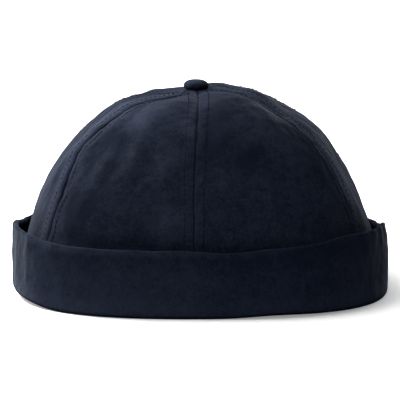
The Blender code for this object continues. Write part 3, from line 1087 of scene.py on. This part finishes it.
def cuff_section(azimuth):
    """The cuff's closed section at azimuths: radii, heights and shares of being its outer wall."""
    lift = cuff_lift(azimuth)
    rim = CUFF_CLOTH / 2
    top = CUFF_HEIGHT * read_table(CUFF_STATIONS, "height", azimuth, FULL_TURN) - rim
    lean = CUFF_LEAN * read_table(CUFF_STATIONS, "lean", azimuth, FULL_TURN)
    scallop = panel_under(azimuth)
    section = []

    def add(radius, height, outer=0.0):
        """Adds a line of points round the cap."""
        section.append((radius, height, np.full_like(azimuth, outer)))

    def add_corner(side, outwards, turns, outer=0.0):
        """Adds the rounded corner between the cuff's bottom and one of its sides."""
        for turn in turns:
            inset, up = FOOT_ROUND * (1 - math.sin(turn)), FOOT_ROUND * (1 - math.cos(turn))
            add(side - outwards * inset, lift + up, outer)

    def wall(up, inset):
        """Radii and heights at a share up the wall, drawn in by an inset."""
        bowed = CUFF_BELLY * (1 - np.sin(math.pi * up)) + lean * up**LEAN_POWER
        return plan_radius(azimuth, 0.0) - bowed - inset, lift + (top - lift) * up

    def beside_crown(height):
        """Radii of the facing's side that lies against the crown."""
        off = -PANEL_CLOTH - FACING_GAP
        points = crown_point(azimuth, climb_of_height(height), scallop, off)
        return np.hypot(points[..., 0], points[..., 1])

    foot, _ = wall(0.0, 0.0)
    quarter = np.linspace(0, math.pi / 2, CUFF_FOOT_POINTS)
    add_corner(foot, 1, quarter, FOOT_SHOWS)
    for up in np.linspace(FOOT_ROUND / CUFF_HEIGHT, 1.0, CUFF_WALL_POINTS)[1:]:
        add(*wall(up, 0.0), 1.0)
    middle, _ = wall(1.0, rim)
    for turn in np.linspace(0, math.pi, CUFF_RIM_POINTS)[1:-1]:
        outer = (1 + math.cos(turn)) / 2
        add(middle + rim * math.cos(turn), top + rim * math.sin(turn), outer)
    for up in np.linspace(1.0, INNER_WALL_FOOT, CUFF_INNER_POINTS):
        add(*wall(up, CUFF_CLOTH))
    floor, facing_top = lift + FOLD_CLOTH, lift + FACING_HEIGHT
    inner_foot, facing_foot = foot - CUFF_CLOTH, beside_crown(floor)
    for share in np.linspace(0, 1, CUFF_FOOT_POINTS):
        add(inner_foot + (facing_foot - inner_foot) * share, floor)
    heights = [floor + (facing_top - floor) * share for share in np.linspace(0, 1, FACING_POINTS)]
    for height in heights[1:]:
        add(beside_crown(height), height)
    edge, half = beside_crown(facing_top), FACING_CLOTH / 2
    for turn in np.linspace(0, math.pi, FACING_TOP_POINTS)[1:-1]:
        up = FACING_TOP_ROUND * half * math.sin(turn)
        add(edge - half + half * math.cos(turn), facing_top + up)
    for height in heights[::-1]:
        add(beside_crown(height) - FACING_CLOTH, height)
    add_corner(facing_foot - FACING_CLOTH, -1, quarter[::-1])
    return [np.stack(column, axis=1) for column in zip(*section)]


def cuff(sizes):
    """The turned-up cuff, a closed ring of cloth with a fold at its foot and a short facing inside."""
    azimuth = np.arange(CUFF_RINGS) / CUFF_RINGS * FULL_TURN - FULL_TURN / 2
    radius, height, outer = cuff_section(azimuth)
    azimuth = azimuth[:, None]
    plain = on_ray(azimuth, radius, height)
    coarse, fine = (ripples(plain, ripple) for ripple in (CUFF_RUMPLES, CUFF_FINE_RUMPLES))
    rumples = sizes.rumple * (CUFF_SHARE * coarse + FINE_SHARE * fine)
    from_join = np.radians(turn_from(azimuth, FULL_TURN / 2)) * radius
    join = JOIN_DEPTH * sizes.seam_roll * bell(from_join, sizes.seam_round)
    relief = rumples + fold_relief(azimuth, height) - join
    swell = outer * step(height, *OFF_TABLE) * relief
    waves = ripples(on_ray(azimuth, plan_radius(azimuth, 0.0), 0.0), RIM_WAVES)
    waves = waves * step(height, RIM_WAVE_START * CUFF_HEIGHT, CUFF_HEIGHT)
    points = on_ray(azimuth, radius + swell + RIM_WAVE_OUT * waves, height + RIM_WAVE_UP * waves)
    faces = grid_faces(*points.shape[:2], round_rows=True, round_columns=True)[:, ::-1]
    girth = np.radians(azimuth) * (CAP_WIDTH + CAP_DEPTH) / 4
    place = stacked(girth, running_length(points)).reshape(-1, 2)
    top = height.max(axis=1, keepdims=True)
    # The cuff's painted light and shade round the cap, and its rim's wear and painted highlight
    rim, fade = (read_table(CUFF_STATIONS, name, azimuth, FULL_TURN) for name in ("rim", "fade"))
    # The rim is lightened by wear and by a painted highlight
    rim_wear_and_highlight = rim * bell(height - top + RIM_WEAR_AND_HIGHLIGHT_DROP, RIM_WEAR_AND_HIGHLIGHT_BREADTH)
    rim_wear_and_highlight = rim_wear_and_highlight * (RIM_WEAR_AND_HIGHLIGHT_INSIDE + (1 - RIM_WEAR_AND_HIGHLIGHT_INSIDE) * outer)
    # Painted light from the floor's bounce lightens the foot, and painted shade darkens the wall under
    # the rim
    wear_and_painted_light = rim_wear_and_highlight + outer * (read_table(CUFF_PAINTED_LIGHTING_BY_HEIGHT, "light", height / top) + fade)
    # Painted shade darkens the inner wall just under the rim, where the gap to the crown lies in shade
    painted_shade = (1 - outer) * (1 - step(height, top - SHADE_DEPTH, top - SHADE_EDGE))
    points, wear_and_painted_light, painted_shade = points.reshape(-1, 3), wear_and_painted_light.ravel(), painted_shade.ravel()
    return cloth_piece("cloth_cuff", points, faces.tolist(), place, wear_and_painted_light, painted_shade)


# Button


def button_outline():
    """The button's outline from clinch to top: radii, heights and how gathered the cloth is."""
    widths = (POST_WIDTH, BUTTON_FOOT_WIDTH, BUTTON_WIDTH, CLINCH_WIDTH)
    post, foot, wide, clinch = (width / 2 for width in widths)
    low, seat = BUTTON_LOW.z, BUTTON_HIGH.z - BUTTON_HEIGHT
    under, widest = low + CLINCH_THICKNESS, seat + BUTTON_ROLL
    outline = [
        (clinch / 2, low, 0),
        (clinch, low, 0),
        (clinch, under, 0),
        (post, under, 0),
        (post, seat, 0),
    ]
    outline += [(post + (foot - post) * share, seat, 0) for share in UNDERSIDE_SHARES]
    for turn in np.linspace(0, math.pi / 2, BUTTON_ROLL_POINTS)[:-1]:
        radius = foot + (wide - foot) * math.sin(turn)
        outline.append((radius, seat + BUTTON_ROLL * (1 - math.cos(turn)), math.sin(2 * turn)))
    for turn in np.linspace(0, math.pi / 2, BUTTON_DOME_POINTS)[:-1]:
        height = widest + (BUTTON_HEIGHT - BUTTON_ROLL) * math.sin(turn)
        gathered = DOME_GATHERS * math.cos(turn) ** DOME_GATHERS_POWER
        outline.append((wide * math.cos(turn) ** DOME_POWER, height, gathered))
    return (np.array(column)[None, :] for column in zip(*outline))


def top_button():
    """The covered button with its post and clinch, turned from its outline, with gathers round it."""
    radius, height, gathered = button_outline()
    azimuth = (np.arange(BUTTON_SIDES) / BUTTON_SIDES * FULL_TURN)[:, None]
    turned = np.radians(azimuth)
    waves = np.sin(turned * GATHERS + GATHER_DRIFT * np.sin(turned * GATHER_DRIFTS))
    points = on_ray(azimuth, radius - GATHER_DEPTH * gathered * (1 + waves), height)
    points[..., 0] += TOP_SHIFT
    rings, size = points.shape[:2]
    poles = [[TOP_SHIFT, 0, BUTTON_LOW.z], [TOP_SHIFT, 0, BUTTON_HIGH.z]]
    points = np.concatenate([points.reshape(-1, 3), poles])
    faces = grid_faces(rings, size, round_rows=True)[:, ::-1].tolist()
    for side in range(rings):
        here, there = side * size, (side + 1) % rings * size
        faces.append((rings * size, there, here))
        faces.append((rings * size + 1, here + size - 1, there + size - 1))
    # Painted light and shade on the button: lighter on top and towards the lit side, darker below
    dome = (points[:, 2] - BUTTON_HIGH.z) / BUTTON_HEIGHT + 1
    facing = np.arctan2(points[:, 0] - TOP_SHIFT, -points[:, 1]) - math.radians(LIT_SIDE)
    painted_side_light = LIT_SIDE_PAINTED_LIGHT * np.cos(facing) * from_button(points) / (BUTTON_WIDTH / 2)
    wear_and_painted_light = DOME_PAINTED_LIGHT * step(dome, *DOME_PAINTED_LIGHT_RISE) - DOME_PAINTED_SHADE + painted_side_light
    return cloth_piece("cloth_button", points, faces, points[:, :2], wear_and_painted_light)


# Stitches


def thread_tube(length, width):
    """A stitch's points along +X with +Z out of the cloth, into which it dives at both ends."""
    along = np.linspace(-0.5, 0.5, THREAD_RINGS)
    from_middle = np.abs(2 * along)
    lift = width * (STITCH_ARCH - STITCH_DIVE * from_middle**STITCH_DIVE_POWER)
    thick = width / 2 * (1 - THREAD_TAPER * from_middle**THREAD_TAPER_POWER)[:, None]
    turn = np.arange(THREAD_SIDES) / THREAD_SIDES * 2 * math.pi
    up = lift[:, None] + THREAD_FLATNESS * thick * np.sin(turn)
    return stacked(along[:, None] * length, thick * np.cos(turn), up).reshape(-1, 3)


def stitch_row(form, side):
    """Places and axes of the stitches in one row, from inside the cuff's rim up to the button."""
    climbs, lengths = form.row_tables[side]
    pitch = form.sizes.stitch_pitch
    start, stop = np.interp(STITCHED_SPAN, climbs, lengths) / pitch
    centres = (np.arange(math.ceil(start), math.floor(stop)) + 0.5) * pitch

    def at(length, nudge=0.0):
        """Points on the cloth's outer side along the row, nudged towards the panel's middle."""
        climb = np.interp(length, lengths, climbs)
        return PanelCloth(form, form.row_share(side, climb, nudge), climb).outside()

    middle = at(centres)
    ahead = at(centres + pitch / 4) - at(centres - pitch / 4)
    ahead /= np.linalg.norm(ahead, axis=1, keepdims=True)
    across = at(centres, -STITCH_SIGHT) - at(centres, STITCH_SIGHT)
    outwards = np.cross(across, ahead) * side
    outwards /= np.linalg.norm(outwards, axis=1, keepdims=True)
    return middle, ahead, np.cross(outwards, ahead), outwards


def topstitching(name, rows, sizes):
    """One mesh of all the stitches in a few rows."""
    tube = thread_tube(STITCH_LENGTH * sizes.stitch_pitch, sizes.thread_width)
    quads = grid_faces(THREAD_RINGS, THREAD_SIDES, round_columns=True)
    first_end = np.arange(THREAD_SIDES)[::-1]
    last_end = (THREAD_RINGS - 1) * THREAD_SIDES + np.arange(THREAD_SIDES)
    points, faces = [], []
    for middle, *axes in rows:
        for place, frame_axes in zip(middle, np.stack(axes, axis=1)):
            offset = len(points) * len(tube)
            points.append(place + tube @ frame_axes)
            faces += (quads + offset).tolist()
            faces += [(end + offset).tolist() for end in (first_end, last_end)]
    return smooth_piece(name, np.concatenate(points), faces)


# Materials


class Value:
    """A number that a material's nodes carry, so that maths on it adds Math nodes."""

    def __init__(self, paint, socket):
        self.paint, self.socket = paint, socket

    def math(self, operation, *values):
        """A Math node's result."""
        node = self.paint.node("ShaderNodeMath", {"operation": operation}, dict(enumerate(values)))
        return Value(self.paint, node.outputs[0])

    def __add__(self, other):
        return self.math("ADD", self, other)

    def __sub__(self, other):
        return self.math("SUBTRACT", self, other)

    def __rsub__(self, other):
        return self.math("SUBTRACT", other, self)

    def __mul__(self, other):
        return self.math("MULTIPLY", self, other)

    def sine(self):
        """Its sine, in radians."""
        return self.math("SINE", self)

    __radd__ = __add__
    __rmul__ = __mul__


class Paint:
    """A material and its node tree."""

    def __init__(self, name):
        self.material = bpy.data.materials.new(name)
        self.material.use_nodes = True
        self.tree = self.material.node_tree
        self.tree.nodes.clear()

    def node(self, kind, settings=None, inputs=None):
        """Adds a node, sets its settings, and then its inputs from plain values, Values or sockets."""
        made = self.tree.nodes.new(kind)
        for key, setting in (settings or {}).items():
            setattr(made, key, setting)
        for key, value in (inputs or {}).items():
            if isinstance(value, Value):
                value = value.socket
            if isinstance(value, bpy.types.NodeSocket):
                self.tree.links.new(value, made.inputs[key])
            else:
                made.inputs[key].default_value = value
        return made

    def value(self, kind, settings=None, inputs=None, output=0):
        """A node's output as a Value."""
        return Value(self, self.node(kind, settings, inputs).outputs[output])

    def object_place(self):
        """Places in the object's own metres."""
        return self.node("ShaderNodeTexCoord").outputs["Object"]

    def noise(self, place, scale, detail=2.0, roughness=0.5):
        """Noise from 0 to 1 over a place."""
        inputs = {"Vector": place, "Scale": scale, "Detail": detail, "Roughness": roughness}
        return self.value("ShaderNodeTexNoise", {"noise_dimensions": "3D"}, inputs)

    def attribute(self, name):
        """A number that the mesh carries, or 0 where it carries none."""
        settings = {"attribute_type": "GEOMETRY", "attribute_name": name}
        return self.value("ShaderNodeAttribute", settings, output=2)

    def mix(self, share, first, second):
        """A colour between two. The Mix node's sockets for colours are told apart by number only."""
        node = self.node("ShaderNodeMix", {"data_type": "RGBA"}, {0: share, 6: first, 7: second})
        return node.outputs[2]

    def bump(self, height, distance):
        """A normal from a height that is a share of a distance."""
        inputs = {"Strength": 0.5, "Distance": distance, "Height": height}
        return self.node("ShaderNodeBump", inputs=inputs).outputs[0]

    def shader(self, inputs):
        """A Principled shader's output."""
        return self.node("ShaderNodeBsdfPrincipled", inputs=inputs).outputs[0]

    def finish(self, surface):
        """The material, with a shader on its surface."""
        self.node("ShaderNodeOutputMaterial", inputs={"Surface": surface})
        return self.material


def opaque(colour):
    """A colour with full alpha."""
    return (*colour, 1.0)


def navy_cloth(name, colours, contrast):
    """Brushed cotton twill: fine slanted ribs, a short nap, washed patches, lighter worn edges with
    painted highlights, painted light and shade from the mesh, and a dark shader for its painted shade.
    """
    paint = Paint(name)
    place = paint.object_place()
    cloth_place = paint.node("ShaderNodeUVMap", {"uv_map": "Cloth"}).outputs["UV"]
    split = paint.node("ShaderNodeSeparateXYZ", inputs={0: cloth_place})
    across, up = (Value(paint, split.outputs[i]) for i in (0, 1))
    wander = paint.noise(place, RIB_WANDER_SCALE, 1.0) * RIB_WANDER
    ribs = ((across + up * RIB_SLANT) * RIBS + wander).sine() * RIB_HEIGHT
    wefts = (across * WEFTS).sine() * WEFT_HEIGHT
    fields = {
        noise.name: paint.noise(place, noise.scale, noise.detail, noise.roughness)
        for noise in CLOTH_NOISES
    }
    uneven = sum((fields[noise.name] - 0.5) * noise.light for noise in CLOTH_NOISES)
    raised = sum(fields[noise.name] * noise.height for noise in CLOTH_NOISES if noise.height)
    # The mesh's wear and painted light lighten or darken the cloth here
    light = uneven * contrast + paint.attribute("wear_and_painted_light") * WEAR_AND_PAINTED_LIGHT_GAIN + CLOTH_LIGHT
    light = paint.value("ShaderNodeClamp", inputs={0: light})
    shown = paint.shader({
        "Base Color": paint.mix(light, opaque(colours.navy), opaque(colours.washed)),
        "Roughness": CLOTH_ROUGHNESS + fields["mottle"] * MOTTLE_ROUGHNESS,
        "Normal": paint.bump(ribs + wefts + raised, distance=0.0004),
        "Specular IOR Level": 0.01,
        "Sheen Weight": 0.128,
        "Sheen Roughness": 0.2,
        "Sheen Tint": (0.68, 0.77, 1.0, 1.0),
    })
    # The painted shade: a dark shader without sheen, mixed in where the mesh carries painted shade
    hidden = paint.shader({
        "Base Color": opaque(colours.covered),
        "Roughness": 1.0,
        "Specular IOR Level": 0.0,
    })
    inputs = {0: paint.attribute("painted_shade"), 1: shown, 2: hidden}
    return paint.finish(paint.node("ShaderNodeMixShader", inputs=inputs).outputs[0])


def thread_finish(colour):
    """Spun cotton thread."""
    paint = Paint("sewing_thread")
    twist = paint.noise(paint.object_place(), scale=2600.0)
    lighter = tuple(THREAD_LIGHTER * part for part in colour)
    return paint.finish(paint.shader({
        "Base Color": paint.mix(twist, opaque(colour), opaque(lighter)),
        "Roughness": 0.7 + twist * 0.2,
        "Normal": paint.bump(twist, distance=0.0001),
        "Specular IOR Level": 0.01,
    }))


def floor_finish(colour):
    """A pale, matt floor that glows a little, so that it stays white to its edge."""
    paint = Paint("pale_floor")
    grain = paint.noise(paint.object_place(), scale=3.0)
    darker = tuple(FLOOR_DARKER * part for part in colour)
    return paint.finish(paint.shader({
        "Base Color": paint.mix(grain, opaque(darker), opaque(colour)),
        "Roughness": 0.9,
        "Specular IOR Level": 0.1,
        "Emission Color": (1.0, 1.0, 1.0, 1.0),
        "Emission Strength": FLOOR_GLOW,
    }))


# Stage


def aim_from(holder, target, back, distance):
    """Places a light or camera at a distance back from its target, facing it."""
    holder.location = target + back * distance
    holder.rotation_mode = "QUATERNION"
    holder.rotation_quaternion = (-back).to_track_quat("-Z", "Y")


def add_floor(colour):
    """A wide floor, a hair under the cap."""
    mesh = bpy.data.meshes.new("floor")
    sides = ((-1, -1), (1, -1), (1, 1), (-1, 1))
    corners = [(x * FLOOR_REACH, y * FLOOR_REACH, -FLOOR_DROP) for x, y in sides]
    mesh.from_pydata(corners, [], [(0, 1, 2, 3)])
    mesh.materials.append(floor_finish(colour))
    floor = bpy.data.objects.new("floor", mesh)
    bpy.context.collection.objects.link(floor)


def add_room_light():
    """Even light from all sides."""
    world = bpy.data.worlds.new("studio")
    world.use_nodes = True
    inputs = world.node_tree.nodes["Background"].inputs
    inputs["Color"].default_value = opaque(ROOM_COLOUR)
    inputs["Strength"].default_value = ROOM_STRENGTH
    bpy.context.scene.world = world


def add_lamp(name, watts, sides, colour=(1.0, 1.0, 1.0)):
    """A soft lamp that the camera doesn't see."""
    lamp = bpy.data.lights.new(name, "AREA")
    lamp.shape = "RECTANGLE"
    lamp.size, lamp.size_y = sides
    lamp.energy = watts
    lamp.color = colour
    holder = bpy.data.objects.new(name, lamp)
    holder.visible_camera = False
    bpy.context.collection.objects.link(holder)
    return holder


def add_camera():
    """The camera, which sees the cap from the front and a little above."""
    camera = bpy.data.cameras.new("camera")
    camera.sensor_width = CAMERA_SENSOR
    camera.lens = CAMERA_SENSOR * CAMERA_DISTANCE / PICTURE_WIDTH
    camera.clip_end = 10 * CAMERA_DISTANCE
    holder = bpy.data.objects.new("camera", camera)
    tilt = math.radians(CAMERA_ELEVATION)
    across, up = PICTURE_MIDDLE
    back = Vector((0, -math.cos(tilt), math.sin(tilt)))
    aim_from(holder, Vector((across, 0, up / math.cos(tilt))), back, CAMERA_DISTANCE)
    bpy.context.collection.objects.link(holder)
    bpy.context.scene.camera = holder


# Operators


class CAP_OT_crown(bpy.types.Operator):
    """Sew the six crown panels and their rows of topstitching"""

    bl_idname = "cap.crown"
    bl_label = "Crown"

    def execute(self, context):
        sizes, colours = context.scene.cap_sizes, context.scene.cap_colours
        cloth = navy_cloth("crown_navy_twill", colours, CROWN_CONTRAST)
        thread = thread_finish(colours.thread)
        forms = [PanelForm(panel, sizes) for panel in PANELS]
        for form in forms:
            piece = crown_panel(form)
            piece.data.materials.append(cloth)
            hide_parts(form.panel.node)
        for number, seam in enumerate(SEAMS):
            rows = [stitch_row(forms[number - 1], 1), stitch_row(forms[number], -1)]
            piece = topstitching("topstitching_" + seam.name, rows, sizes)
            piece.data.materials.append(thread)
        return {"FINISHED"}


class CAP_OT_cuff(bpy.types.Operator):
    """Fold up the cuff round the crown"""

    bl_idname = "cap.cuff"
    bl_label = "Cuff"

    def execute(self, context):
        piece = cuff(context.scene.cap_sizes)
        cloth = navy_cloth("cuff_navy_twill", context.scene.cap_colours, CUFF_CONTRAST)
        piece.data.materials.append(cloth)
        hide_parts("cuff")
        return {"FINISHED"}


class CAP_OT_button(bpy.types.Operator):
    """Cover the button on top"""

    bl_idname = "cap.button"
    bl_label = "Button"

    def execute(self, context):
        piece = top_button()
        cloth = navy_cloth("button_navy_twill", context.scene.cap_colours, BUTTON_CONTRAST)
        piece.data.materials.append(cloth)
        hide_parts("top_button")
        return {"FINISHED"}


class CAP_OT_stage(bpy.types.Operator):
    """Set up the floor, the studio light and the camera"""

    bl_idname = "cap.stage"
    bl_label = "Stage"

    def execute(self, context):
        context.scene.view_settings.view_transform = "Standard"
        context.scene.view_settings.look = "None"
        add_floor(context.scene.cap_colours.floor)
        add_room_light()
        for light in STUDIO_LIGHTS:
            holder = add_lamp(light.name, light.watts, (light.side, light.side), LIGHT_COLOUR)
            up = math.radians(light.elevation)
            back = Vector(on_ray(light.azimuth, math.cos(up), math.sin(up)))
            aim_from(holder, Vector((0, 0, CROWN_HEIGHT / 2)), back, light.distance)
        holder = add_lamp("over_floor", FLOOR_LIGHT_WATTS, FLOOR_LIGHT_SIDES)
        holder.data.spread = math.radians(FLOOR_LIGHT_BEAM)
        holder.location = FLOOR_LIGHT_PLACE
        add_camera()
        return {"FINISHED"}


class CAP_PT_panel(bpy.types.Panel):
    """Lists the cap's sizes, colours and pieces"""

    bl_idname = "CAP_PT_panel"
    bl_label = "Cap"
    bl_space_type = "VIEW_3D"
    bl_region_type = "UI"
    bl_category = "Cap"

    def draw(self, context):
        for group in (context.scene.cap_sizes, context.scene.cap_colours):
            box = self.layout.box()
            for name in group.__annotations__:
                box.prop(group, name)
        for operator in OPERATORS:
            self.layout.operator(operator.bl_idname)


OPERATORS = (CAP_OT_crown, CAP_OT_cuff, CAP_OT_button, CAP_OT_stage)
CLASSES = (CapSizes, CapColours, *OPERATORS, CAP_PT_panel)


def register():
    """Adds the classes and the scene's sizes and colours."""
    for cls in CLASSES:
        bpy.utils.register_class(cls)
    bpy.types.Scene.cap_sizes = PointerProperty(type=CapSizes)
    bpy.types.Scene.cap_colours = PointerProperty(type=CapColours)


def unregister():
    """Takes away what register adds."""
    del bpy.types.Scene.cap_colours
    del bpy.types.Scene.cap_sizes
    for cls in reversed(CLASSES):
        bpy.utils.unregister_class(cls)


def main():
    """Makes the cap and its stage."""
    register()
    bpy.ops.cap.crown()
    bpy.ops.cap.cuff()
    bpy.ops.cap.button()
    bpy.ops.cap.stage()


if __name__ == "__main__":
    main()
